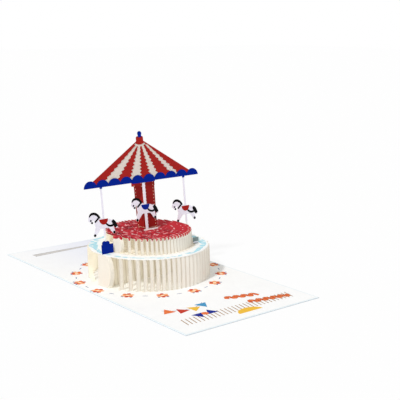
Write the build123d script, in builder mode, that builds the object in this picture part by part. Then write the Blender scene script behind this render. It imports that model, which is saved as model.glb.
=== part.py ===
"""Pop-up card lying open: two round tiers of folded paper ribbons, a red column and a flat
carousel with three horses. The pages lie on the XY plane and the fold runs along Y."""
import math
import os

from build123d import *

# Papers and boards
cover_board = 0.45
liner_sheet = 0.25
paper = 0.35
glue_gap = 0.1
ribbon_gap = 0.4

# Open card
page_width = 150.0
page_depth = 150.0
liner_margin = 0.6
crease_width = 0.9
crease_depth = 0.12

# Lower tier
lower_radius = 56.4
lower_top = 30.0
lower_count = 24
lower_pitch = 4.75
lower_foot_shift = -1.2
lower_top_shift = -2.6
lower_bow = 0.4
lower_end_bow = 5.0
lower_flap_reach = 1.9
foot_tab = 3.0

# Icing ring on the lower tier
ring_overhang = 0.5
ring_width = 12.0

# Upper tier
upper_radius = 40.4
upper_rise = 14.8
upper_count = 22
upper_pitch = 3.7
upper_foot_shift = -2.4
upper_top_shift = -3.5
upper_bow = 0.4
upper_end_bow = 2.8
upper_flap_reach = 1.5
rim_tooth = 2.0

# Long sheet inside the lower tier
spine_foot_x = 8.5
spine_half_length = 53.0

# Flat carousel, leaning back over the left page
lean_deg = 7.3
panel_x = 1.2
panel_y = -3.5

# Roof: its foot above the upper tier, each further piece from the one below it
roof_foot = 47.6
roof_half_width = 62.3
roof_shift = -0.9
roof_rise = 37.0
hub_half_width = 4.0
hub_rise = 4.6
hub_corner = 1.7
ball_rise = 2.4
ball_radius = 2.3
stem_depth = 1.0
stem_width = 3.8
backing_inset = 1.5

# Scalloped band along the foot of the roof
band_drop = 1.2
band_shift = -0.4
middle_drop = 0.9
scallop_count = 10
scallop_pitch = 13.0
scallop_radius = 7.0
scallop_sink = 0.3
clip_width = 2.6
clip_drop = 1.2

# Toothed stripes cut in the roof: middle of the head, middle of the foot and width of the foot
stripes = (
    (-4.8, -39.2, 16.2),
    (-1.8, -9.3, 12.8),
    (1.6, 13.6, 9.8),
    (5.9, 38.9, 9.0),
)
stripe_head_width = 2.5
stripe_foot_margin = 1.0
stripe_head_margin = 3.6
stripe_teeth = 10
tooth_depth = 1.1

# Curved slot under the hub, where the stripes meet
arch_radius = 9.5
arch_width = 1.8
arch_margin = 4.2
arch_sweep_deg = 66.0

# Poles and the bar under the middle one
pole_spacing = 47.4
pole_shift = -0.6
outer_pole_width = 2.1
centre_pole_width = 2.8
foot_bar_left = 3.6
foot_bar_right = 12.6
foot_bar_height = 1.3
outer_saddle_height = 16.1
centre_saddle_height = 23.5

# Horse cut-out: place and radius of each joint, as shares of its length
horse_length = 30.8
chest_shares = (-0.158, -0.072, 0.161)
rump_shares = (0.165, -0.105, 0.132)
withers_shares = (-0.184, -0.016, 0.138)
crest_shares = (-0.26, 0.159, 0.086)
poll_shares = (-0.342, 0.163, 0.112)
forehead_shares = (-0.428, 0.172, 0.076)
muzzle_shares = (-0.475, 0.078, 0.058)
bit_shares = (-0.403, -0.016, 0.028)
shoulder_shares = (-0.19, -0.155, 0.1)
fore_hoof_shares = (-0.339, -0.402, 0.044)
haunch_shares = (0.21, -0.13, 0.1)
hind_hoof_shares = (0.335, -0.398, 0.044)
dock_shares = (0.298, -0.035, 0.036)
tail_middle_shares = (0.36, -0.12, 0.06)
tail_tip_shares = (0.432, -0.242, 0.042)

# Column
column_side = 13.1
column_turn_deg = 9.0
column_height = 60.0
column_flare_deg = 0.55
collar_overhang = 0.7
collar_height = 18.6

# Parcels
parcel_y = -50.1
parcel_width = 12.6
parcel_height = 8.6
bow_loops = ((3.2, 1.0, 2.3), (6.7, 0.8, 2.2))
back_parcel_x = 24.5
back_parcel_y = 35.8
back_parcel_width = 6.8
back_parcel_height = 4.0
back_ledge_width = 5.2
back_ledge_height = 2.1

card_top = cover_board + liner_sheet
ring_radius = lower_radius + ring_overhang
upper_top = lower_top + upper_rise
roof_hip = roof_foot + roof_rise
hub_top = roof_hip + hub_rise
band_height = roof_foot - band_drop
stripe_foot = roof_foot + stripe_foot_margin
stripe_head = roof_hip - stripe_head_margin
lean = math.radians(lean_deg)
rise_share = math.cos(lean)
drift_share = math.sin(lean)


def save(part, name):
    """Label one piece and write its file."""
    part.label = name
    export_step(part, f"parts/{name}.step")


def panel(offset=0):
    """Plane of the carousel sheets: local x runs along the fold and local y up the lean."""
    foot = (panel_x, panel_y, upper_top)
    plane = Plane(origin=foot, x_dir=(0, 1, 0), z_dir=(rise_share, 0, drift_share))
    return plane.offset(offset)


def sheet(outline, name, offset=0, sheets=1):
    """Cut one flat sheet of the carousel to an outline drawn on its plane."""
    with BuildPart() as cut:
        with BuildSketch(panel(offset)):
            add(outline)
        extrude(amount=sheets * paper)
    save(cut.part, name)


def make_card():
    with BuildPart() as cover:
        with BuildSketch():
            Rectangle(2 * page_width, page_depth)
        extrude(amount=cover_board)
    save(cover.part, "cover_card")

    with BuildPart() as liner:
        with BuildSketch(Plane.XY.offset(cover_board)):
            Rectangle(2 * (page_width - liner_margin), page_depth - 2 * liner_margin)
        extrude(amount=liner_sheet)
        with BuildSketch(Plane.XZ.offset(-page_depth / 2)):
            with BuildLine():
                Polyline(
                    (-crease_width / 2, card_top),
                    (0, card_top - crease_depth),
                    (crease_width / 2, card_top),
                    close=True,
                )
            make_face()
        extrude(amount=page_depth, mode=Mode.SUBTRACT)
    save(liner.part, "inner_liner")


def strip_outline(half_span, foot, top, bows):
    """Outside of a folded strip, seen along the fold."""
    foot_x, foot_z = foot
    top_x, top_z = top
    left_bow, right_bow = bows
    middle_x = (foot_x + top_x) / 2
    middle_z = (foot_z + top_z) / 2
    with BuildSketch() as outline:
        with BuildLine():
            Line((foot_x + half_span, foot_z), (foot_x - half_span, foot_z))
            ThreePointArc(
                (foot_x - half_span, foot_z),
                (middle_x - half_span - left_bow, middle_z),
                (top_x - half_span, top_z),
            )
            Line((top_x - half_span, top_z), (top_x + half_span, top_z))
            ThreePointArc(
                (top_x + half_span, top_z),
                (middle_x + half_span + right_bow, middle_z),
                (foot_x + half_span, foot_z),
            )
        make_face()
    return outline.sketch


def front_flap(centre_y, width, half_span, foot, top, bows, reach):
    """Curved flap from the fold round to the right wall of a tier's front strip."""
    foot_x, foot_z = foot
    edge_y = centre_y - width / 2
    front_y = edge_y - reach
    end_x = foot_x + half_span + bows[1]
    with BuildPart() as flap:
        with BuildSketch(Plane.XY.offset(foot_z)):
            with BuildLine():
                TangentArc((0, front_y), (end_x, centre_y), tangent=(1, 0))
                Line((end_x, centre_y), (end_x, centre_y + paper))
                TangentArc((0, front_y + paper), (end_x, centre_y + paper), tangent=(1, 0))
                Line((0, front_y + paper), (0, front_y))
            make_face()
        extrude(amount=top[1] - foot_z)
        with BuildSketch(Plane.XZ.offset(-(centre_y + width / 2))):
            add(strip_outline(half_span, foot, top, bows))
        extrude(amount=width + reach, mode=Mode.INTERSECT)
    return flap.part


def ribbon(name, centre_y, width, half_span, foot, top, bows, tooth=0, flap_reach=0):
    """Fold one strip: glued tab, wall, flat top, wall and glued tab.

    foot and top are the sideways shift and the height of the strip's ends and of its top.
    tooth is how far a pointed tab sticks out of each end of the top.
    flap_reach is how far the front strip's flap stands out at the fold."""
    foot_x, foot_z = foot
    top_x, top_z = top
    with BuildPart() as strip:
        with BuildSketch(Plane.XZ.offset(-(centre_y + width / 2))):
            add(strip_outline(half_span, foot, top, bows))
            offset(amount=-paper, mode=Mode.SUBTRACT)
            with Locations((foot_x, foot_z)):
                Rectangle(2 * (half_span - foot_tab), 2 * paper, mode=Mode.SUBTRACT)
        extrude(amount=width)
        if tooth:
            reach = half_span + tooth
            root = half_span - paper
            with BuildSketch(Plane.XY.offset(top_z - paper)):
                with Locations((top_x, centre_y)):
                    Polygon(
                        (-reach, 0),
                        (-root, -width / 2),
                        (root, -width / 2),
                        (reach, 0),
                        (root, width / 2),
                        (-root, width / 2),
                        align=None,
                    )
            extrude(amount=paper)
        if flap_reach:
            add(front_flap(centre_y, width, half_span, foot, top, bows, flap_reach))
    save(strip.part, name)


def tier_rows(count, pitch, radius):
    """Number, centre along the fold and half span of each ribbon of a round tier."""
    for index in range(count):
        centre_y = (index - (count - 1) / 2) * pitch
        yield index + 1, centre_y, math.sqrt(radius**2 - centre_y**2)


def make_lower_tier():
    for number, centre_y, half_span in tier_rows(lower_count, lower_pitch, lower_radius):
        name = f"lower_ribbon_{number:02d}"
        width = lower_pitch - ribbon_gap
        foot = (lower_foot_shift, card_top)
        top = (lower_top_shift, lower_top)
        bow = lower_end_bow if number in (1, lower_count) else lower_bow
        reach = lower_flap_reach if number == 1 else 0
        ribbon(name, centre_y, width, half_span, foot, top, (bow, bow), flap_reach=reach)

    rise = lower_top - paper - glue_gap - card_top
    drift = rise * math.tan(lean)
    with BuildPart() as spine:
        with BuildSketch(Plane.XZ.offset(-spine_half_length)):
            with BuildLine():
                Polyline(
                    (spine_foot_x, card_top),
                    (spine_foot_x + paper, card_top),
                    (spine_foot_x + paper - drift, card_top + rise),
                    (spine_foot_x - drift, card_top + rise),
                    close=True,
                )
            make_face()
        extrude(amount=2 * spine_half_length)
    save(spine.part, "spine_sheet")

    with BuildPart() as ring:
        with BuildSketch(Plane.XY.offset(lower_top)):
            with Locations((lower_top_shift, 0)):
                Circle(ring_radius)
                Circle(ring_radius - ring_width, mode=Mode.SUBTRACT)
        extrude(amount=paper)
    save(ring.part, "icing_ring")


def make_upper_tier():
    for number, centre_y, half_span in tier_rows(upper_count, upper_pitch, upper_radius):
        name = f"upper_ribbon_{number:02d}"
        foot = (upper_foot_shift, lower_top)
        top = (upper_top_shift, upper_top)
        width = upper_pitch - ribbon_gap
        bows = (upper_bow, upper_end_bow) if number in (1, upper_count) else (upper_bow, -upper_bow)
        reach = upper_flap_reach if number == 1 else 0
        ribbon(name, centre_y, width, half_span, foot, top, bows, rim_tooth, reach)


def make_column():
    """Square tube standing just behind the carousel, wider towards the roof, with a folded collar
    under the roof that stands out to the left and the back."""
    leaning = Plane(
        origin=(panel_x, panel_y, upper_top),
        x_dir=(rise_share, 0, drift_share),
        z_dir=(-drift_share, 0, rise_share),
    )
    sink = column_side * math.tan(lean)
    growth = (column_height + sink) * math.tan(math.radians(column_flare_deg))
    half_top = column_side / 2 + growth
    turn = math.radians(column_turn_deg)
    reach_x = math.cos(turn) + math.sin(turn)
    reach_y = math.cos(turn) - math.sin(turn)
    centre_x = -half_top * reach_x - paper - glue_gap
    centre_y = half_top * reach_y
    collar_side = 2 * (half_top + collar_overhang)
    with BuildPart() as column:
        with BuildSketch(leaning.offset(-sink)):
            with Locations((centre_x, centre_y)):
                Rectangle(column_side, column_side, rotation=column_turn_deg)
        extrude(amount=column_height + sink, taper=-column_flare_deg)
        with BuildSketch(leaning.offset(column_height - collar_height)):
            with Locations((centre_x - collar_overhang * reach_x, centre_y - collar_overhang * reach_y)):
                Rectangle(collar_side, collar_side, rotation=column_turn_deg)
        extrude(amount=collar_height)
        with BuildSketch(leaning.offset(-sink)):
            with Locations((centre_x, centre_y)):
                hollow_side = column_side - 2 * paper
                Rectangle(hollow_side, hollow_side, rotation=column_turn_deg)
        extrude(amount=column_height + sink, taper=-column_flare_deg, mode=Mode.SUBTRACT)
        split(bisect_by=Plane.XY.offset(upper_top), keep=Keep.TOP)
    save(column.part, "red_column")


def stripe_outline(head_x, foot_x, foot_width):
    """Corners of one stripe: both long edges step sideways together at every tooth."""
    steps = 2 * stripe_teeth
    left = []
    right = []
    for step in range(steps + 1):
        down = step / steps
        side = tooth_depth if step % 2 else -tooth_depth
        x = head_x + (foot_x - head_x) * down + side * min(1, 2 * down)
        y = stripe_head + (stripe_foot - stripe_head) * down
        half_width = (stripe_head_width + (foot_width - stripe_head_width) * down) / 2
        left.append((x - half_width, y))
        right.append((x + half_width, y))
    return left + right[::-1]


def make_roof():
    with BuildSketch() as front:
        with Locations((roof_shift, 0)):
            Polygon(
                (-roof_half_width, roof_foot),
                (roof_half_width, roof_foot),
                (hub_half_width, roof_hip),
                (hub_half_width, hub_top),
                (-hub_half_width, hub_top),
                (-hub_half_width, roof_hip),
                align=None,
            )
        fillet(front.vertices().group_by(Axis.Y)[-1], radius=hub_corner)
        for head_x, foot_x, foot_width in stripes:
            Polygon(*stripe_outline(head_x, foot_x, foot_width), align=None, mode=Mode.SUBTRACT)
        with BuildLine(mode=Mode.PRIVATE) as arch:
            middle = (roof_shift, roof_hip - arch_margin + arch_radius)
            CenterArc(middle, arch_radius, -90 - arch_sweep_deg / 2, arch_sweep_deg)
        SlotArc(arch.edges()[0], arch_width, mode=Mode.SUBTRACT)
    sheet(front.sketch, "roof_front")

    with BuildSketch() as backing:
        with Locations((roof_shift, 0)):
            Polygon(
                (2 * backing_inset - roof_half_width, roof_foot),
                (roof_half_width - 2 * backing_inset, roof_foot),
                (hub_half_width, roof_hip),
                (-hub_half_width, roof_hip),
                align=None,
            )
    sheet(backing.sketch, "roof_backing", offset=-paper)

    with BuildSketch() as band:
        with Locations((band_shift, band_height - scallop_sink)):
            with GridLocations(scallop_pitch, 0, scallop_count, 1):
                Circle(scallop_radius)
        with Locations((band_shift, band_height)):
            band_width = scallop_count * scallop_pitch + scallop_radius
            Rectangle(band_width, 2 * scallop_radius, align=(Align.CENTER, Align.MAX), mode=Mode.SUBTRACT)
            Rectangle(2 * scallop_pitch, middle_drop, align=(Align.CENTER, Align.MAX))
        with Locations((pole_shift, band_height)):
            with GridLocations(2 * pole_spacing, 0, 2, 1):
                Rectangle(clip_width, clip_drop, align=(Align.CENTER, Align.MAX))
    sheet(band.sketch, "scallop_band", offset=paper)

    with BuildSketch() as finial:
        with Locations((roof_shift, hub_top + ball_rise)):
            Circle(ball_radius)
        with Locations((roof_shift, hub_top - stem_depth)):
            Rectangle(stem_width, stem_depth + ball_rise, align=(Align.CENTER, Align.MIN))
    sheet(finial.sketch, "finial", offset=paper)


def limb(first, second):
    """Rounded limb that wraps two joints of the horse."""
    with BuildSketch() as shape:
        for x_share, y_share, radius_share in (first, second):
            with Locations((x_share * horse_length, y_share * horse_length)):
                Circle(radius_share * horse_length)
        make_hull()
    return shape.sketch


def horse_sheet(name, pole_x, pole_foot, pole_width, saddle_height, bar=None):
    limbs = [
        limb(chest_shares, rump_shares),
        limb(withers_shares, crest_shares),
        limb(crest_shares, poll_shares),
        limb(poll_shares, forehead_shares),
        limb(forehead_shares, muzzle_shares),
        limb(poll_shares, muzzle_shares),
        limb(muzzle_shares, bit_shares),
        limb(shoulder_shares, fore_hoof_shares),
        limb(haunch_shares, hind_hoof_shares),
        limb(dock_shares, tail_middle_shares),
        limb(tail_middle_shares, tail_tip_shares),
    ]
    pole_top = roof_foot - glue_gap
    with BuildSketch() as outline:
        with Locations((pole_x, pole_foot)):
            Rectangle(pole_width, pole_top - pole_foot, align=(Align.CENTER, Align.MIN))
            if bar:
                with Locations((-bar[0], 0)):
                    Rectangle(bar[0] + bar[1], bar[2], align=(Align.MIN, Align.MIN))
        with Locations((pole_x, saddle_height)):
            for shape in limbs:
                add(shape)
    sheet(outline.sketch, name)


def make_horses():
    ring_top = lower_top + paper
    left_foot = (ring_top - upper_top) / rise_share
    right_foot = (lower_top - upper_top) / rise_share
    width = outer_pole_width
    bar = (foot_bar_left, foot_bar_right, foot_bar_height)
    left_x = pole_shift - pole_spacing
    right_x = pole_shift + pole_spacing
    horse_sheet("horse_left", left_x, left_foot, width, outer_saddle_height)
    horse_sheet("horse_right", right_x, right_foot, width, outer_saddle_height)
    horse_sheet("horse_centre", pole_shift, 0, centre_pole_width, centre_saddle_height, bar)


def make_parcels():
    ring_top = lower_top + paper
    ring_height = (ring_top - upper_top) / rise_share
    with BuildSketch() as parcel:
        with Locations((parcel_y - panel_y, ring_height)):
            Rectangle(parcel_width, parcel_height, align=(Align.CENTER, Align.MIN))
            with Locations((-parcel_width / 2, parcel_height)):
                for loop_x, loop_y, loop_radius in bow_loops:
                    with Locations((loop_x, loop_y)):
                        Circle(loop_radius)
    sheet(parcel.sketch, "parcel_left", offset=paper)

    with BuildPart() as parcel:
        with BuildSketch(Plane.YZ.offset(back_parcel_x)):
            with Locations((back_parcel_y, ring_top)):
                Rectangle(back_ledge_width, back_ledge_height, align=(Align.CENTER, Align.MIN))
            with Locations((back_parcel_y, ring_top + back_ledge_height)):
                Rectangle(back_parcel_width, back_parcel_height, align=(Align.CENTER, Align.MIN))
        extrude(amount=paper)
    save(parcel.part, "parcel_back")


os.makedirs("parts", exist_ok=True)
make_card()
make_lower_tier()
make_upper_tier()
make_column()
make_roof()
make_horses()
make_parcels()
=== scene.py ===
"""Pop-up card lying open: paper finishes, printed patterns, studio light and the camera."""
import math

import bmesh
import bpy
from mathutils import Matrix, Vector


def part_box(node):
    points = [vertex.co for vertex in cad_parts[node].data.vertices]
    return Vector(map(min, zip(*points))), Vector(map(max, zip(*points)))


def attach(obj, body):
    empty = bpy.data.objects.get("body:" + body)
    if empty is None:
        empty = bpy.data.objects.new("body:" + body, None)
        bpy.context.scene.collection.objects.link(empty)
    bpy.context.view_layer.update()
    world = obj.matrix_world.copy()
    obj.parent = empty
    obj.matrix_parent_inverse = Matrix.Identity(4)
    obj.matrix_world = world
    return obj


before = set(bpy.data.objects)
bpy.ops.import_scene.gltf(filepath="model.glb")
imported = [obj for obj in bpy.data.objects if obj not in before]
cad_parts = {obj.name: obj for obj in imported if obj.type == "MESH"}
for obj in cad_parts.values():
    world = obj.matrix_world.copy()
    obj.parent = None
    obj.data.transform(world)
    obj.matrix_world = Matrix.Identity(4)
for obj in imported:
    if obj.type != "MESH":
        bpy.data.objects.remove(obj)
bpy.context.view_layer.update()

mm = 0.001

# Camera
camera_place = (641.6 * mm, -463.2 * mm, 238.8 * mm)
camera_azimuth_deg = 50.74
camera_down_deg = 11.82
camera_roll_deg = 0.23
camera_lens = 76.96
camera_sensor = 36.0
camera_clip_start = 0.01

# Light: a soft sun from the front left, and an even white room
sun_azimuth_deg = -72.5
sun_height_deg = 45
sun_spread_deg = 5
sun_strength = 1.7
room_strength = 0.64

# Floor: half its width in metres, its matt white and the share of pure white that the camera sees
floor_reach = 6
floor_white = (0.93, 0.93, 0.93, 1)
floor_roughness = 0.9
floor_glow = 0.85

# Every paper: its fibres, the clouds in its tone, its relief and how much its gloss varies
fibre_scale = 1400
fibre_detail = 4
cloud_scale = 60
fibre_height = 0.04 * mm
gloss_swing = 0.06

# A face counts as level, or as square to a direction, past this share
facing_limit = 0.5

# Pages in millimetres: side of one page, band of painted shade along the edges, and where the painted shade
# on the left leaf starts and ends
page_size = 150.0
painted_rim_band = 1.9
shade_start = -90 * mm
shade_end = 60 * mm
underside_height = 0.02 * mm

# Carousel sheets: their lean, their paper and the place of the middle pole's foot
lean = math.radians(7.3)
paper = 0.35 * mm
panel_y = -3.5 * mm
pole_shift = -0.6
pole_spacing = 47.4
outer_saddle_height = 16.1
centre_saddle_height = 23.5
column_turn = math.radians(9)
column_side = 13.1

# Printed marks: how far they stand proud of their paper, their thickness in millimetres, their roundness
print_lift = 0.04 * mm
print_thickness = 0.06
disc_segments = 20
half_disc_segments = 32
small_segments = 12
pennant_segments = 3
stroke_steps = 5

# Marks on a horse, in millimetres from the middle of its saddle: x, y and half width
mane = (
    (-15.0, 4.9, 0.5), (-13.6, 6.6, 0.95), (-10.5, 7.5, 1.15),
    (-7.4, 6.5, 1.2), (-5.0, 4.3, 1.1), (-3.7, 2.7, 0.7),
)
breast_strap = ((-9.4, -0.5, 0.8), (-6.8, 1.6, 0.9), (-4.2, 3.8, 1.0))
girth = ((2.2, -3.0, 0.8), (4.4, -4.9, 0.95), (6.9, -5.8, 1.0), (9.0, -5.6, 1.0), (11.0, -4.8, 0.9))
tail = ((9.3, -1.0, 1.25), (10.3, -2.4, 1.8), (11.2, -3.8, 2.05), (12.5, -6.1, 1.75), (13.35, -7.55, 1.5))
nose_dots = ((-13.6, 1.5, 0.9), (-12.4, -0.6, 1.0))
hooves = ((-10.4, -12.4, 1.3), (10.3, -12.2, 1.3))
saddle_middle = (0.0, 1.3)
saddle_half_width = 4.7
saddle_drop = 5.1

# Folded strips of both tiers: middle of the tier, pitch and number
lower_middle_x = -2 * mm
lower_pitch = 4.75 * mm
lower_count = 24
upper_middle_x = -3.5 * mm
upper_pitch = 3.7 * mm
upper_count = 22
ribbon_relief = 0.2

# Inner faces: how far from the middle they start, and the strength of the painted glow (emission) that stands
# in for light coming through the paper
inner_start = -2 * mm
painted_glow_strength = 0.2

# Painted shade along a strip's long edges, and on the flaps that face the ends of the card
painted_edge_shade_ramp = (0.28, 0.45)
painted_edge_shade_share = 0.6
painted_flap_shade_ramp = (0.2, 0.9)
painted_flap_shade_share = 0.4

# Crimson top of the upper tier: its height, the notches of its printed rim and the tabs down the walls
crimson_height = 44.4 * mm
top_radius = 40.4 * mm
notch_depth = 3.2 * mm
notch_start = 0.5 * mm
rim_tab_drop = 1.9 * mm

# Uneven crimson: length of a block of tone, painted shade in the gaps, pale nicks painted as highlights, and
# where this unevenness ends and is full
tone_length = 7.0 * mm
block_ramp = (0.35, 1.0)
shade_gap_limit = -0.36
nick_scale = 330
nick_ramp = (0.6, 0.66)
smooth_from = 24.0 * mm
rough_from = 4.0 * mm

# Broken pale rings on the crimson top: radius, width, dashes in a turn and how short the dashes are
cream_rings = ((12.5, 0.9, 9, 0.3), (25.0, 1.2, 15, 0.0), (33.5, 0.7, 26, 0.6))

# Icing band on the ring: middle radius, narrowest width, how much it swells and how far it wanders
icing_radius = 52.0 * mm
icing_width = 1.7 * mm
icing_swell = 7.0 * mm
icing_wander = 6.0 * mm
swell_scale = 35
swell_ramp = (0.5, 0.75)
wander_scale = 90
broken_scale = 220
broken_ramp = (0.38, 0.52)

# The icing is widest towards this direction and its opposite
icing_side = (0.585, 0.81, 0.0)
icing_side_width = 3.2 * mm

# Height of the painted light that makes the tab at the centre pole's foot white
painted_light_tab_height = 2.0 * mm

# Stitch marks on the column: their place, size and length in a pitch, and the height read as its foot
stitch_inset = 1.6 * mm
stitch_half_width = 0.35 * mm
stitch_pitch = 3.1 * mm
stitch_share = 0.35
foot_stitch_share = 0.45
column_foot_height = 2.0 * mm

# Back parcel: height of its pale ledge and of the painted shadow line at its foot
ledge_height = 2.1 * mm
painted_shadow_line = 0.6 * mm

# Flower garland round the lower tier, in millimetres and radians
garland_radius = 69.5
garland_flowers = 14
garland_limit = 72
garland_dash_reach = 2.4
garland_dash_widths = (0.35, 0.5, 0.35)
petal_count = 6
petal_radius = 2.0
petal_reach = 3.3
petal_stretch = 1.35
petal_inks = ("brick", "orange", "pale")
eye_radius = 1.6
leaf_reach = 5.6
leaf_radius = 1.05
leaf_spread = 0.75
leaf_stretch = 1.5
leaf_segments = 10

# How much thicker a mark is than the one that it lies over, in millimetres
petal_rise = 0.02

# Grey line on the left page, in millimetres
left_grey_line = ((-127.0, -56.0, 3.8), (-127.5, -20.0, 3.0), (-128.0, 10.5, 2.0))

# Right page, slanted ticks of the border: half length, slant and half width
border_x = 127.0
border_ends = (-60.0, 62.0)
border_tick_pitch = 4.2
border_tick = (6.6, -1.2, 0.48)

# Right page, pennants on a string and a bow
pennant_string = (
    (93.0, -56.0, 0.25), (99.5, -47.0, 0.25), (103.0, -36.0, 0.25), (102.0, -25.0, 0.25), (96.5, -15.0, 0.25),
)
pennant_inks = ("orange", "brick", "yellow", "sky")
pennant_size = 7.0
pennant_hang = 2.4
bow_place = (120.0, -31.0)
bow_wing = 6.5

# Right page, rows of waves: x of the start, first and last y, and slope
wave_rows = ((100.5, 8.0, 38.0, 0.28), (120.5, 18.0, 58.0, 0.18))
wave_height = 2.8
wave_length = 7.5
wave_half_width = 2.1
knot_radius = 0.75
knot_stretch = 1.9
knot_turn = 0.4

# Right page, half sun: x, y, half width and height
half_sun = (139.5, 3.5, 13.0, 9.0)


def linear(value):
    """One sRGB channel, 0 to 255, as linear light."""
    share = value / 255
    return share / 12.92 if share <= 0.04045 else ((share + 0.055) / 1.055) ** 2.4


def colour(red, green, blue):
    return (linear(red), linear(green), linear(blue), 1.0)


roof_red = colour(166, 28, 22)
column_red = colour(152, 18, 16)
crimson = colour(196, 34, 48)
deep_crimson = colour(150, 16, 34)
painted_gap_shade = colour(96, 6, 16)
pale_print_and_highlight = colour(238, 186, 186)
royal_blue = colour(0, 34, 142)
cream = colour(248, 243, 232)
painted_inside_beige = colour(246, 241, 227)
painted_edge_shade = colour(206, 195, 178)
painted_glow_colour = colour(250, 242, 218)
page_white = colour(251, 251, 250)
page_shade = colour(229, 231, 243)
painted_cut_edge_shade = colour(188, 202, 216)
painted_rim_shade = colour(237, 244, 246)
card_yellow = colour(250, 208, 100)
painted_shade_stripe = colour(226, 215, 205)
painted_lavender_tint = colour(241, 238, 250)
icing_white = colour(250, 252, 250)
icing_blue = colour(178, 226, 238)
stitch_white = colour(226, 196, 170)
orange = colour(232, 118, 60)
pale_orange = colour(244, 176, 128)
petal_cream = colour(255, 226, 190)
brick = colour(200, 62, 44)
dash_blue = colour(96, 108, 152)
sky_blue = colour(70, 150, 196)
gold = colour(172, 134, 92)
sun_yellow = colour(240, 190, 60)
line_grey = colour(210, 206, 202)
ink = colour(9, 9, 13)
grey_green = colour(130, 146, 146)
blue_edge = colour(2, 12, 70)
red_edge = colour(120, 16, 14)


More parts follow.
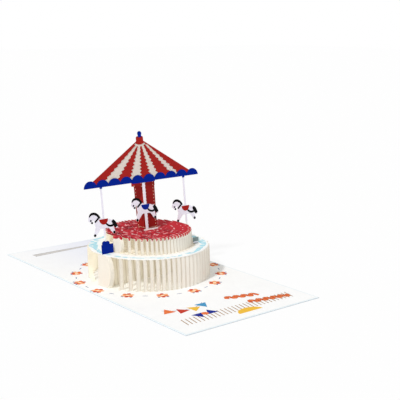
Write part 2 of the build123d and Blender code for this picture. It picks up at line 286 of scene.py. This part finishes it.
class Finish:
    """A paper's surface, built up node by node."""

    def __init__(self, name):
        self.material = bpy.data.materials.new(name)
        self.material.use_nodes = True
        self.nodes = self.material.node_tree.nodes
        self.links = self.material.node_tree.links
        self.shader = self.nodes["Principled BSDF"]
        source = self.nodes.new("ShaderNodeTexCoord")
        self.place = source.outputs["Object"]
        self.normal = source.outputs["Normal"]

    def feed(self, socket, value):
        """Join a socket to another node's output, or set its constant."""
        if isinstance(value, bpy.types.NodeSocket):
            self.links.new(value, socket)
        else:
            socket.default_value = value

    def maths(self, operation, *values):
        node = self.nodes.new("ShaderNodeMath")
        node.operation = operation
        for socket, value in zip(node.inputs, values):
            self.feed(socket, value)
        return node.outputs[0]

    def noise(self, scale, detail=2.0):
        node = self.nodes.new("ShaderNodeTexNoise")
        node.inputs["Scale"].default_value = scale
        node.inputs["Detail"].default_value = detail
        self.feed(node.inputs["Vector"], self.place)
        return node.outputs["Fac"]

    def strip_tone(self, strip, across):
        """A level from 0 to 1 that changes from strip to strip, and along each."""
        join = self.nodes.new("ShaderNodeCombineXYZ")
        self.feed(join.inputs["X"], self.maths("FLOOR", strip))
        self.feed(join.inputs["Y"], self.maths("FLOOR", self.maths("DIVIDE", across, tone_length)))
        node = self.nodes.new("ShaderNodeTexWhiteNoise")
        node.noise_dimensions = "2D"
        self.feed(node.inputs["Vector"], join.outputs["Vector"])
        return node.outputs["Value"]

    def axes(self, vector):
        node = self.nodes.new("ShaderNodeSeparateXYZ")
        self.feed(node.inputs[0], vector)
        return node.outputs

    def along(self, vector, direction):
        """How far a vector reaches along a direction."""
        node = self.nodes.new("ShaderNodeVectorMath")
        node.operation = "DOT_PRODUCT"
        self.feed(node.inputs[0], vector)
        node.inputs[1].default_value = direction
        return node.outputs["Value"]

    def toward(self, direction):
        """How squarely the surface faces a direction, from -1 to 1."""
        return self.along(self.normal, direction)

    def size(self, value):
        return self.maths("ABSOLUTE", value)

    def square(self, value):
        return self.maths("MULTIPLY", value, value)

    def product(self, *values):
        """All the values multiplied, which for masks keeps what they share."""
        result = values[0]
        for value in values[1:]:
            result = self.maths("MULTIPLY", result, value)
        return result

    def distance(self, x, y):
        return self.maths("SQRT", self.maths("ADD", self.square(x), self.square(y)))

    def strip_place(self, y, pitch, count):
        """The number of the strip at y, and how far off its middle y is, from -0.5 to 0.5."""
        strip = self.maths("SUBTRACT", self.maths("DIVIDE", y, pitch), (count / 2) % 1)
        return strip, self.maths("SUBTRACT", self.maths("FRACT", strip), 0.5)

    def cut_edge(self, out):
        """1 on the cut edges of a flat sheet whose faces look along out."""
        return self.maths("LESS_THAN", self.size(self.toward(out)), facing_limit)

    def ramp(self, value, start, end):
        """Rises smoothly from 0 at start to 1 at end."""
        node = self.nodes.new("ShaderNodeMapRange")
        node.interpolation_type = "SMOOTHSTEP"
        self.feed(node.inputs["Value"], value)
        node.inputs["From Min"].default_value = start
        node.inputs["From Max"].default_value = end
        return node.outputs["Result"]

    def over(self, under, mask, top):
        """Lay one colour over another where the mask is 1."""
        node = self.nodes.new("ShaderNodeMix")
        node.data_type = "RGBA"
        self.feed(node.inputs["Factor"], mask)
        self.feed(node.inputs[6], under)
        self.feed(node.inputs[7], top)
        return node.outputs[2]

    def local_to(self, matrix):
        """The surface's place measured in another frame."""
        node = self.nodes.new("ShaderNodeMapping")
        node.vector_type = "TEXTURE"
        self.feed(node.inputs["Vector"], self.place)
        node.inputs["Location"].default_value = matrix.to_translation()
        node.inputs["Rotation"].default_value = matrix.to_euler("XYZ")
        return node.outputs["Vector"]

    def paper(self, base, fibre=0.05, bump=0.12, roughness=0.78, sheen=0.2):
        """Fine fibres in colour and relief, matt, with slightly uneven gloss."""
        self.shader.inputs["Specular IOR Level"].default_value = sheen
        grain = self.noise(fibre_scale, fibre_detail)
        cloud = self.noise(cloud_scale)
        level = self.nodes.new("ShaderNodeMapRange")
        level.inputs["From Min"].default_value = 0.5
        level.inputs["From Max"].default_value = 1.5
        level.inputs["To Min"].default_value = 1 - fibre
        level.inputs["To Max"].default_value = 1 + fibre
        self.feed(level.inputs["Value"], self.maths("ADD", grain, cloud))
        tone = self.nodes.new("ShaderNodeVectorMath")
        tone.operation = "SCALE"
        self.feed(tone.inputs[0], base if isinstance(base, bpy.types.NodeSocket) else base[:3])
        self.feed(tone.inputs["Scale"], level.outputs["Result"])
        self.feed(self.shader.inputs["Base Color"], tone.outputs["Vector"])
        gloss = self.nodes.new("ShaderNodeMapRange")
        gloss.inputs["To Min"].default_value = roughness - gloss_swing
        gloss.inputs["To Max"].default_value = roughness + gloss_swing
        self.feed(gloss.inputs["Value"], cloud)
        self.feed(self.shader.inputs["Roughness"], gloss.outputs["Result"])
        relief = self.nodes.new("ShaderNodeBump")
        relief.inputs["Strength"].default_value = bump
        relief.inputs["Distance"].default_value = fibre_height
        self.feed(relief.inputs["Height"], grain)
        self.feed(self.shader.inputs["Normal"], relief.outputs["Normal"])
        return self.material


def ink_print(name, base):
    """Ink on paper: the fibres show through a little less, and it is a touch glossier."""
    return Finish(name).paper(base, fibre=0.03, bump=0.08, roughness=0.62, sheen=0.1)


def board_finish():
    """Yellow underneath, with painted shade above: blue-white on the board's faces and blue-grey on its cut
    edges.
    """
    finish = Finish("yellow_board")
    height = finish.axes(finish.place)["Z"]
    # Painted shade: blue-white on the upper faces, blue-grey on the cut edges
    pale = finish.over(painted_rim_shade, finish.cut_edge((0, 0, 1)), painted_cut_edge_shade)
    base = finish.over(pale, finish.maths("LESS_THAN", height, underside_height), card_yellow)
    return finish.paper(base)


def page_finish():
    """White page with a band of painted shade along its edges, and painted shade, a little cooler and deeper,
    on the left leaf towards the back.
    """
    finish = Finish("white_page")
    place = finish.axes(finish.place)
    # Painted shade on the left leaf, deeper towards the back
    left = finish.maths("LESS_THAN", place["X"], 0)
    back = finish.ramp(place["Y"], shade_start, shade_end)
    leaf = finish.over(page_white, finish.product(left, back), page_shade)
    # A band of painted shade along the page's outer edges
    far_x = finish.maths("GREATER_THAN", finish.size(place["X"]), (page_size - painted_rim_band) * mm)
    far_y = finish.maths("GREATER_THAN", finish.size(place["Y"]), (page_size / 2 - painted_rim_band) * mm)
    return finish.paper(finish.over(leaf, finish.maths("MAXIMUM", far_x, far_y), painted_rim_shade), fibre=0.02)


def ribbon_base(finish, middle_x, pitch, count):
    """Cream outside, and inside and underneath a warmer painted beige with a painted glow (emission), both
    standing in for daylight that comes through the thin paper.

    Gives the colour, and the mask of the inner and under faces."""
    place = finish.axes(finish.place)
    outward = finish.product(finish.maths("SUBTRACT", place["X"], middle_x), finish.toward((1, 0, 0)))
    inside = finish.maths("LESS_THAN", outward, inner_start)
    below = finish.maths("LESS_THAN", finish.toward((0, 0, 1)), -facing_limit)
    hidden = finish.maths("MAXIMUM", inside, below)
    # Painted glow: the inner and under faces emit light, standing in for daylight through the paper
    finish.shader.inputs["Emission Color"].default_value = painted_glow_colour
    finish.feed(finish.shader.inputs["Emission Strength"], finish.product(hidden, painted_glow_strength))
    strip, off_centre = finish.strip_place(place["Y"], pitch, count)
    # Painted shade between neighbouring strips
    between_ends = finish.maths("LESS_THAN", finish.size(place["Y"]), (count / 2 - 1) * pitch)
    beside = finish.ramp(finish.size(off_centre), *painted_edge_shade_ramp)
    wall = finish.over(cream, finish.product(beside, painted_edge_shade_share, between_ends), painted_edge_shade)
    # Painted shade on faces that look along the fold, such as the end flaps
    painted_flap_shade_mask = finish.ramp(finish.size(finish.toward((0, 1, 0))), *painted_flap_shade_ramp)
    wall = finish.over(wall, finish.product(painted_flap_shade_mask, painted_flap_shade_share), painted_edge_shade)
    upright = finish.maths("LESS_THAN", finish.toward((0, 0, 1)), facing_limit)
    return finish.over(finish.over(cream, upright, wall), hidden, painted_inside_beige), hidden


def ribbon_finish():
    finish = Finish("cream_paper")
    base, hidden = ribbon_base(finish, lower_middle_x, lower_pitch, lower_count)
    return finish.paper(base, bump=ribbon_relief)


def crimson_with_painted_shade(finish, place, across, strip, off_centre):
    """Crimson with darker blocks of tone, painted shade in the gaps between strips, pale nicks painted as
    highlights, and broken rings of printed pale dashes.
    """
    uneven_and_shaded = finish.ramp(place["Y"], smooth_from, rough_from)
    blocks = finish.strip_tone(strip, across)
    top = finish.over(crimson, finish.product(uneven_and_shaded, finish.ramp(blocks, *block_ramp)), deep_crimson)
    # Painted shade in the gap beside each strip's edge
    shade_gap = finish.maths("LESS_THAN", off_centre, shade_gap_limit)
    top = finish.over(top, finish.product(uneven_and_shaded, shade_gap, blocks), painted_gap_shade)
    # Pale nicks: painted highlights of lifted strips
    highlight_nick = finish.ramp(finish.noise(nick_scale), *nick_ramp)
    top = finish.over(top, finish.product(uneven_and_shaded, highlight_nick), pale_print_and_highlight)
    radius = finish.distance(across, place["Y"])
    angle = finish.maths("ARCTAN2", place["Y"], across)
    for ring, width, count, level in cream_rings:
        near = finish.maths("COMPARE", radius, ring * mm, width / 2 * mm)
        beat = finish.maths("SINE", finish.product(angle, count))
        dash = finish.maths("GREATER_THAN", beat, level)
        top = finish.over(top, finish.product(near, dash), pale_print_and_highlight)
    return top


def crimson_ribbon_finish():
    """Cream walls under a crimson top, whose rounded tabs reach down the walls."""
    finish = Finish("crimson_topped_paper")
    place = finish.axes(finish.place)
    across = finish.maths("SUBTRACT", place["X"], upper_middle_x)
    strip, off_centre = finish.strip_place(place["Y"], upper_pitch, upper_count)
    top = crimson_with_painted_shade(finish, place, across, strip, off_centre)
    round_tab = finish.product(finish.square(off_centre), 4.0)
    tab_drop = finish.product(finish.maths("SUBTRACT", 1.0, round_tab), rim_tab_drop)
    high = finish.maths("GREATER_THAN", place["Z"], finish.maths("SUBTRACT", crimson_height, tab_drop))
    centre_y = finish.maths("SUBTRACT", place["Y"], finish.product(off_centre, upper_pitch))
    chord = finish.maths("SUBTRACT", top_radius**2, finish.square(centre_y))
    reach = finish.maths("SQRT", finish.maths("MAXIMUM", chord, 0))
    inside = finish.maths("SUBTRACT", reach, finish.size(across))
    notch = finish.product(round_tab, notch_depth)
    printed = finish.maths("GREATER_THAN", inside, finish.maths("SUBTRACT", notch, notch_start))
    tooth = finish.maths("LESS_THAN", inside, 0)
    printed = finish.maths("MAXIMUM", printed, tooth)
    base, hidden = ribbon_base(finish, upper_middle_x, upper_pitch, upper_count)
    shown = finish.maths("SUBTRACT", 1.0, hidden)
    return finish.paper(finish.over(base, finish.product(high, shown, printed), top), bump=ribbon_relief)


def iced_finish():
    """White ring with a wandering pale blue band, wider towards two sides."""
    finish = Finish("iced_paper")
    place = finish.axes(finish.place)
    low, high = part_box("icing_ring")
    across = finish.maths("SUBTRACT", place["X"], (low[0] + high[0]) / 2)
    radius = finish.distance(across, place["Y"])
    wander = finish.product(finish.maths("SUBTRACT", finish.noise(wander_scale), 0.5), icing_wander)
    sideways = finish.size(finish.along(finish.place, icing_side))
    off = finish.maths("DIVIDE", sideways, icing_radius)
    swell = finish.product(finish.ramp(finish.noise(swell_scale), *swell_ramp), icing_swell / 2)
    wide = finish.product(finish.square(off), icing_side_width / 2)
    half = finish.maths("ADD", finish.product(swell, off), finish.maths("ADD", wide, icing_width / 2))
    band = finish.maths("COMPARE", finish.maths("ADD", radius, wander), icing_radius, half)
    broken = finish.ramp(finish.noise(broken_scale), *broken_ramp)
    up = finish.maths("GREATER_THAN", finish.toward((0, 0, 1)), facing_limit)
    return finish.paper(finish.over(icing_white, finish.product(up, band, broken), icing_blue))


def panel_axes():
    """The carousel plane's directions: along the fold, up its lean, and out of its front."""
    along = Vector((0, 1, 0))
    up = Vector((-math.sin(lean), 0, math.cos(lean)))
    out = Vector((math.cos(lean), 0, math.sin(lean)))
    return along, up, out


def cut_paper(name, base, edge_colour, sheen=0.2):
    """A flat carousel sheet, whose cut edges differ from its faces."""
    finish = Finish(name)
    along, up, out = panel_axes()
    return finish.paper(finish.over(base, finish.cut_edge(out), edge_colour), sheen=sheen)


def horse_finish():
    """Paper painted lavender for the cool light on its white, with white cut edges, and painted light making
    the tab at the centre pole's foot white.
    """
    finish = Finish("horse_paper")
    along, up, out = panel_axes()
    low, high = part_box("horse_centre")
    # Painted light: the foot tab turns white as if it faced the lamp
    painted_light_tab = finish.maths("LESS_THAN", finish.axes(finish.place)["Z"], low[2] + painted_light_tab_height)
    return finish.paper(finish.over(painted_lavender_tint, finish.maths("MAXIMUM", finish.cut_edge(out), painted_light_tab), page_white))


def column_finish():
    """Dark red with a row of pale stitch marks beside every corner and round the foot."""
    finish = Finish("column_paper")
    along, up, out = panel_axes()
    points = [vert.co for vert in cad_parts["red_column"].data.vertices]
    foot = min(point.z for point in points)
    tube = Matrix((out, along, up)).transposed().to_4x4() @ Matrix.Rotation(column_turn, 4, "Z")
    base = [tube.inverted() @ point for point in points if point.z < foot + column_foot_height]
    lows = [min(point[axis] for point in base) for axis in range(3)]
    highs = [max(point[axis] for point in base) for axis in range(3)]
    middle = (Vector(lows) + Vector(highs)) / 2
    place = finish.axes(finish.local_to(tube @ Matrix.Translation(middle)))
    face = column_side / 2 * mm
    rows = []
    for axis, other in ("XY", "YX"):
        row = finish.maths("COMPARE", finish.size(place[axis]), face - stitch_inset, stitch_half_width)
        outside = finish.maths("GREATER_THAN", finish.size(place[other]), face - stitch_inset / 2)
        rows.append(finish.product(row, outside))
    beside = finish.maths("MAXIMUM", *rows)
    step = finish.maths("FRACT", finish.maths("DIVIDE", place["Z"], stitch_pitch))
    upright = finish.product(beside, finish.maths("LESS_THAN", step, stitch_share))
    height = finish.axes(finish.place)["Z"]
    low = finish.maths("COMPARE", height, foot + stitch_inset, stitch_half_width)
    both = finish.maths("ADD", place["X"], place["Y"])
    across = finish.maths("FRACT", finish.maths("DIVIDE", both, stitch_pitch / 2))
    round_foot = finish.product(low, finish.maths("LESS_THAN", across, foot_stitch_share))
    mask = finish.maths("MAXIMUM", upright, round_foot)
    return finish.paper(finish.over(column_red, mask, stitch_white))


def parcel_finish():
    """Grey-green box on a pale ledge, with a painted shadow line round its foot."""
    finish = Finish("grey_green_paper")
    height = finish.axes(finish.place)["Z"]
    low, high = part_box("parcel_back")
    # Painted shadow: a dark line round the parcel's foot
    painted_foot_shadow = finish.maths("LESS_THAN", height, low[2] + painted_shadow_line)
    above_ledge = finish.maths("GREATER_THAN", height, low[2] + ledge_height)
    pale = finish.over(page_shade, painted_foot_shadow, grey_green)
    return finish.paper(finish.over(pale, above_ledge, grey_green))


def paint(node, material):
    """Give a carried-over sheet its paper."""
    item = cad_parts[node]
    item.data.materials.clear()
    item.data.materials.append(material)


def dress_sheets():
    walls = ribbon_finish()
    upper = crimson_ribbon_finish()
    horse = horse_finish()
    blue = cut_paper("blue_paper", royal_blue, blue_edge, sheen=0.06)
    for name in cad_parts:
        if name.startswith("lower_ribbon") or name == "spine_sheet":
            paint(name, walls)
        elif name.startswith("upper_ribbon"):
            paint(name, upper)
        elif name.startswith("horse"):
            paint(name, horse)
    paint("cover_card", board_finish())
    paint("inner_liner", page_finish())
    paint("icing_ring", iced_finish())
    paint("roof_front", cut_paper("roof_paper", roof_red, red_edge))
    # The backing's white paper is painted beige-grey as shade behind the roof's cut-outs; its cut edges keep
    # the white
    paint("roof_backing", cut_paper("stripe_paper", painted_shade_stripe, page_white))
    paint("red_column", column_finish())
    for name in ("scallop_band", "finial", "parcel_left"):
        paint(name, blue)
    paint("parcel_back", parcel_finish())


def panel_frame(lift):
    """Maps millimetres on the carousel's plane to the row's metres, lift metres in front of it."""
    foot_low, foot_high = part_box("horse_centre")
    foot = Vector((foot_high[0] - paper * math.cos(lean), panel_y, foot_low[2]))
    along, up, out = panel_axes()
    frame_matrix = Matrix((along, up, out)).transposed().to_4x4()
    return Matrix.Translation(foot + out * lift) @ frame_matrix @ Matrix.Scale(mm, 4)


def page_frame():
    """Maps millimetres on the open pages to the row's metres."""
    low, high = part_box("inner_liner")
    return Matrix.Translation((0, 0, high[2] + print_lift / 2)) @ Matrix.Scale(mm, 4)


class Print:
    """Flat printed marks on one sheet, gathered in one mesh."""

    def __init__(self, name, place, thickness=print_thickness):
        self.name = name
        self.place = place
        self.thickness = thickness
        self.shape = bmesh.new()
        self.materials = []

    def finish_mark(self, verts, material):
        if material not in self.materials:
            self.materials.append(material)
        index = self.materials.index(material)
        for face in {face for vert in verts for face in vert.link_faces}:
            face.material_index = index

    def disc(self, x, y, radius, material, stretch=1.0, turn=0.0, segments=disc_segments, rise=0.0):
        """A round or oval spot, or with few segments a pennant; rise lays it over other marks."""
        depth = self.thickness + rise
        made = bmesh.ops.create_cone(
            self.shape, cap_ends=True, segments=segments, radius1=radius, radius2=radius, depth=depth
        )
        verts = made["verts"]
        bmesh.ops.scale(self.shape, verts=verts, vec=(stretch, 1, 1))
        bmesh.ops.rotate(self.shape, verts=verts, cent=(0, 0, 0), matrix=Matrix.Rotation(turn, 3, "Z"))
        bmesh.ops.translate(self.shape, verts=verts, vec=(x, y, 0))
        self.finish_mark(verts, material)
        return verts

    def half_disc(self, x, y, half_width, drop, material, turn=0.0):
        """A half round spot with its straight side through x, y."""
        verts = self.disc(0, 0, half_width, material, segments=half_disc_segments)
        for vert in verts:
            vert.co.y = min(vert.co.y, 0) * drop / half_width
        bmesh.ops.rotate(self.shape, verts=verts, cent=(0, 0, 0), matrix=Matrix.Rotation(turn, 3, "Z"))
        bmesh.ops.translate(self.shape, verts=verts, vec=(x, y, 0))

    def stroke(self, points, material, smooth=True):
        """A band along points of x, y and half width."""
        curve = bpy.data.curves.new("stroke", "CURVE")
        curve.dimensions = "3D"
        curve.bevel_depth = 1.0
        curve.bevel_resolution = 1
        curve.resolution_u = stroke_steps if smooth else 1
        curve.use_fill_caps = True
        spline = curve.splines.new("BEZIER")
        spline.bezier_points.add(len(points) - 1)
        for point, (x, y, half_width) in zip(spline.bezier_points, points):
            point.co = (x, y, 0)
            point.radius = half_width
            point.handle_left_type = point.handle_right_type = "AUTO" if smooth else "VECTOR"
        item = bpy.data.objects.new("stroke", curve)
        bpy.context.scene.collection.objects.link(item)
        bpy.context.view_layer.update()
        depsgraph = bpy.context.evaluated_depsgraph_get()
        mesh = bpy.data.meshes.new_from_object(item.evaluated_get(depsgraph))
        before = set(self.shape.verts)
        self.shape.from_mesh(mesh)
        verts = [vert for vert in self.shape.verts if vert not in before]
        widest = max(half_width for _, _, half_width in points)
        bmesh.ops.scale(self.shape, verts=verts, vec=(1, 1, self.thickness / (2 * widest)))
        self.finish_mark(verts, material)
        bpy.data.objects.remove(item)
        bpy.data.curves.remove(curve)
        bpy.data.meshes.remove(mesh)

    def done(self):
        mesh = bpy.data.meshes.new(self.name)
        self.shape.transform(self.place)
        bmesh.ops.recalc_face_normals(self.shape, faces=self.shape.faces)
        self.shape.to_mesh(mesh)
        self.shape.free()
        for material in self.materials:
            mesh.materials.append(material)
        item = bpy.data.objects.new(self.name, mesh)
        bpy.context.scene.collection.objects.link(item)
        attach(item, "root")


def print_horses():
    """Mane, tail, straps, hooves and saddle, on both faces of each horse."""
    black = ink_print("black_ink", ink)
    saddle_red = ink_print("saddle_red_ink", roof_red)
    saddle_blue = ink_print("saddle_blue_ink", royal_blue)
    horses = (
        ("horse_left", pole_shift - pole_spacing, outer_saddle_height, saddle_red),
        ("horse_centre", pole_shift, centre_saddle_height, saddle_blue),
        ("horse_right", pole_shift + pole_spacing, outer_saddle_height, saddle_red),
    )
    for node, pole_x, height, saddle in horses:
        for side, lift in (("front", paper + print_lift / 2), ("back", -print_lift / 2)):
            place = panel_frame(lift) @ Matrix.Translation((pole_x, height, 0))
            marks = Print(f"{node}_{side}_print", place)
            marks.half_disc(*saddle_middle, saddle_half_width, saddle_drop, saddle)
            for band in (mane, breast_strap, girth, tail):
                marks.stroke(band, black)
            for x, y, radius in nose_dots + hooves:
                marks.disc(x, y, radius, black)
            marks.done()


def print_flower(marks, x, y, angle, inks):
    """Petals in three inks round a cream eye, with two leaves on the outer side."""
    for petal in range(petal_count):
        turn = 2 * math.pi * petal / petal_count + angle
        level = petal % len(petal_inks)
        marks.disc(x + petal_reach * math.cos(turn), y + petal_reach * math.sin(turn), petal_radius,
                   inks[petal_inks[level]], stretch=petal_stretch, turn=turn, segments=small_segments,
                   rise=petal_rise * level)
    marks.disc(x, y, eye_radius, inks["cream"], segments=small_segments, rise=petal_rise * len(petal_inks))
    for side in (-1, 1):
        turn = angle + side * leaf_spread
        marks.disc(x + leaf_reach * math.cos(turn), y + leaf_reach * math.sin(turn), leaf_radius,
                   inks["dash"], stretch=leaf_stretch, turn=turn, segments=leaf_segments)


def print_garland(inks):
    """Ring of small flowers round the lower tier, with a blue-grey dash between neighbours."""
    low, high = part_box("icing_ring")
    middle = (low[0] + high[0]) / 2 / mm
    marks = Print("garland_print", page_frame())
    first_width, middle_width, last_width = garland_dash_widths
    for index in range(garland_flowers):
        angle = 2 * math.pi * index / garland_flowers
        x = middle + garland_radius * math.cos(angle)
        y = garland_radius * math.sin(angle)
        if abs(y) > garland_limit:
            continue
        print_flower(marks, x, y, angle, inks)
        between = angle + math.pi / garland_flowers
        dash_x = middle + garland_radius * math.cos(between)
        dash_y = garland_radius * math.sin(between)
        step_x = -math.sin(between) * garland_dash_reach
        step_y = math.cos(between) * garland_dash_reach
        marks.stroke(((dash_x - step_x, dash_y - step_y, first_width), (dash_x, dash_y, middle_width),
                      (dash_x + step_x, dash_y + step_y, last_width)), inks["dash"])
    marks.done()


def print_waves(marks, inks):
    """Rows of waves, with a darker knot on each slope."""
    for row_x, first, last, tilt in wave_rows:
        count = round(2 * (last - first) / wave_length)
        points = []
        for index in range(count + 1):
            y = first + index * wave_length / 2
            points.append((row_x + wave_height * (-1) ** index + (y - first) * tilt, y, wave_half_width))
        marks.stroke(points, inks["orange"])
        for here, after in zip(points, points[1:]):
            marks.disc((here[0] + after[0]) / 2, (here[1] + after[1]) / 2, knot_radius, inks["brick"],
                       stretch=knot_stretch, turn=knot_turn, segments=small_segments, rise=petal_rise)


def print_right_page(inks):
    """Slanted ticks, pennants on a string, two rows of waves, a half sun and a bow."""
    marks = Print("right_page_print", page_frame())
    start, end = border_ends
    reach, slant, half_width = border_tick
    ticks = int((end - start) / border_tick_pitch)
    for index in range(ticks):
        y = start + (index + 0.5) * border_tick_pitch
        ends = ((border_x - reach, y - slant, half_width), (border_x + reach, y + slant, half_width))
        marks.stroke(ends, inks["gold"], smooth=False)
    marks.stroke(pennant_string, inks["dash"])
    for (x, y, _), (next_x, next_y, _), name in zip(pennant_string, pennant_string[1:], pennant_inks):
        turn = math.atan2(next_y - y, next_x - x)
        pennant_x = (x + next_x) / 2 + pennant_hang * math.sin(turn)
        pennant_y = (y + next_y) / 2 - pennant_hang * math.cos(turn)
        marks.disc(pennant_x, pennant_y, pennant_size, inks[name], turn=turn - math.pi / 2,
                   segments=pennant_segments)
    print_waves(marks, inks)
    sun_x, sun_y, sun_half, sun_drop = half_sun
    marks.half_disc(sun_x, sun_y, sun_half, sun_drop, inks["yellow"], turn=-math.pi / 2)
    bow_x, bow_y = bow_place
    for side in (-1, 1):
        marks.disc(bow_x, bow_y + side * bow_wing, bow_wing, inks["blue"], turn=side * math.pi / 2,
                   segments=pennant_segments)
    marks.disc(bow_x, bow_y, bow_wing / 2, inks["orange"], rise=petal_rise)
    marks.done()


def print_left_page(inks):
    """A grey line down the left leaf."""
    marks = Print("left_page_print", page_frame())
    marks.stroke(left_grey_line, inks["grey"])
    marks.done()


def print_pages():
    inks = {
        "orange": ink_print("orange_ink", orange),
        "brick": ink_print("brick_ink", brick),
        "pale": ink_print("pale_orange_ink", pale_orange),
        "cream": ink_print("petal_cream_ink", petal_cream),
        "blue": ink_print("blue_ink", royal_blue),
        "yellow": ink_print("yellow_ink", sun_yellow),
        "sky": ink_print("sky_ink", sky_blue),
        "dash": ink_print("dash_ink", dash_blue),
        "gold": ink_print("gold_ink", gold),
        "grey": ink_print("grey_line_finish", line_grey),
    }
    print_garland(inks)
    print_right_page(inks)
    print_left_page(inks)


def make_stage():
    """White floor that keeps the card's shadow."""
    floor_mesh = bpy.data.meshes.new("floor")
    shape = bmesh.new()
    bmesh.ops.create_grid(shape, x_segments=1, y_segments=1, size=floor_reach)
    shape.to_mesh(floor_mesh)
    shape.free()
    floor = bpy.data.objects.new("floor", floor_mesh)
    bpy.context.scene.collection.objects.link(floor)
    material = bpy.data.materials.new("floor_white")
    material.use_nodes = True
    nodes = material.node_tree.nodes
    links = material.node_tree.links
    shader = nodes["Principled BSDF"]
    shader.inputs["Base Color"].default_value = floor_white
    shader.inputs["Roughness"].default_value = floor_roughness
    shader.inputs["Specular IOR Level"].default_value = 0.0
    glow = nodes.new("ShaderNodeEmission")
    glow.inputs["Color"].default_value = (1, 1, 1, 1)
    glow.inputs["Strength"].default_value = 1.0
    rays = nodes.new("ShaderNodeLightPath")
    share = nodes.new("ShaderNodeMath")
    share.operation = "MULTIPLY"
    share.inputs[1].default_value = floor_glow
    links.new(rays.outputs["Is Camera Ray"], share.inputs[0])
    mix = nodes.new("ShaderNodeMixShader")
    links.new(share.outputs[0], mix.inputs["Fac"])
    links.new(shader.outputs[0], mix.inputs[1])
    links.new(glow.outputs[0], mix.inputs[2])
    links.new(mix.outputs[0], nodes["Material Output"].inputs["Surface"])
    floor_mesh.materials.append(material)


def make_light():
    """An even room that the camera sees as pure white, and a soft sun."""
    world = bpy.data.worlds.new("studio")
    bpy.context.scene.world = world
    world.use_nodes = True
    nodes = world.node_tree.nodes
    links = world.node_tree.links
    plain = nodes["Background"]
    plain.inputs["Color"].default_value = (1, 1, 1, 1)
    plain.inputs["Strength"].default_value = room_strength
    seen = nodes.new("ShaderNodeBackground")
    seen.inputs["Color"].default_value = (1, 1, 1, 1)
    seen.inputs["Strength"].default_value = 1.0
    rays = nodes.new("ShaderNodeLightPath")
    mix = nodes.new("ShaderNodeMixShader")
    links.new(rays.outputs["Is Camera Ray"], mix.inputs["Fac"])
    links.new(plain.outputs[0], mix.inputs[1])
    links.new(seen.outputs[0], mix.inputs[2])
    links.new(mix.outputs[0], nodes["World Output"].inputs["Surface"])
    lamp = bpy.data.lights.new("key_light", "SUN")
    lamp.energy = sun_strength
    lamp.angle = math.radians(sun_spread_deg)
    item = bpy.data.objects.new("key_light", lamp)
    turn = math.radians(sun_azimuth_deg)
    height = math.radians(sun_height_deg)
    level = math.cos(height)
    source = Vector((math.cos(turn) * level, math.sin(turn) * level, math.sin(height)))
    item.location = source
    item.rotation_euler = (-source).to_track_quat("-Z", "Y").to_euler()
    bpy.context.scene.collection.objects.link(item)


def make_camera():
    data = bpy.data.cameras.new("camera")
    data.lens = camera_lens
    data.sensor_width = camera_sensor
    data.clip_start = camera_clip_start
    camera = bpy.data.objects.new("camera", data)
    turn = Matrix.Rotation(math.radians(camera_azimuth_deg), 4, "Z")
    tilt = Matrix.Rotation(math.radians(90 - camera_down_deg), 4, "X")
    roll = Matrix.Rotation(math.radians(camera_roll_deg), 4, "Z")
    camera.matrix_world = Matrix.Translation(camera_place) @ turn @ tilt @ roll
    bpy.context.scene.collection.objects.link(camera)
    bpy.context.scene.camera = camera


bpy.context.scene.view_settings.view_transform = "Standard"
make_camera()
make_light()
make_stage()
dress_sheets()
print_horses()
print_pages()
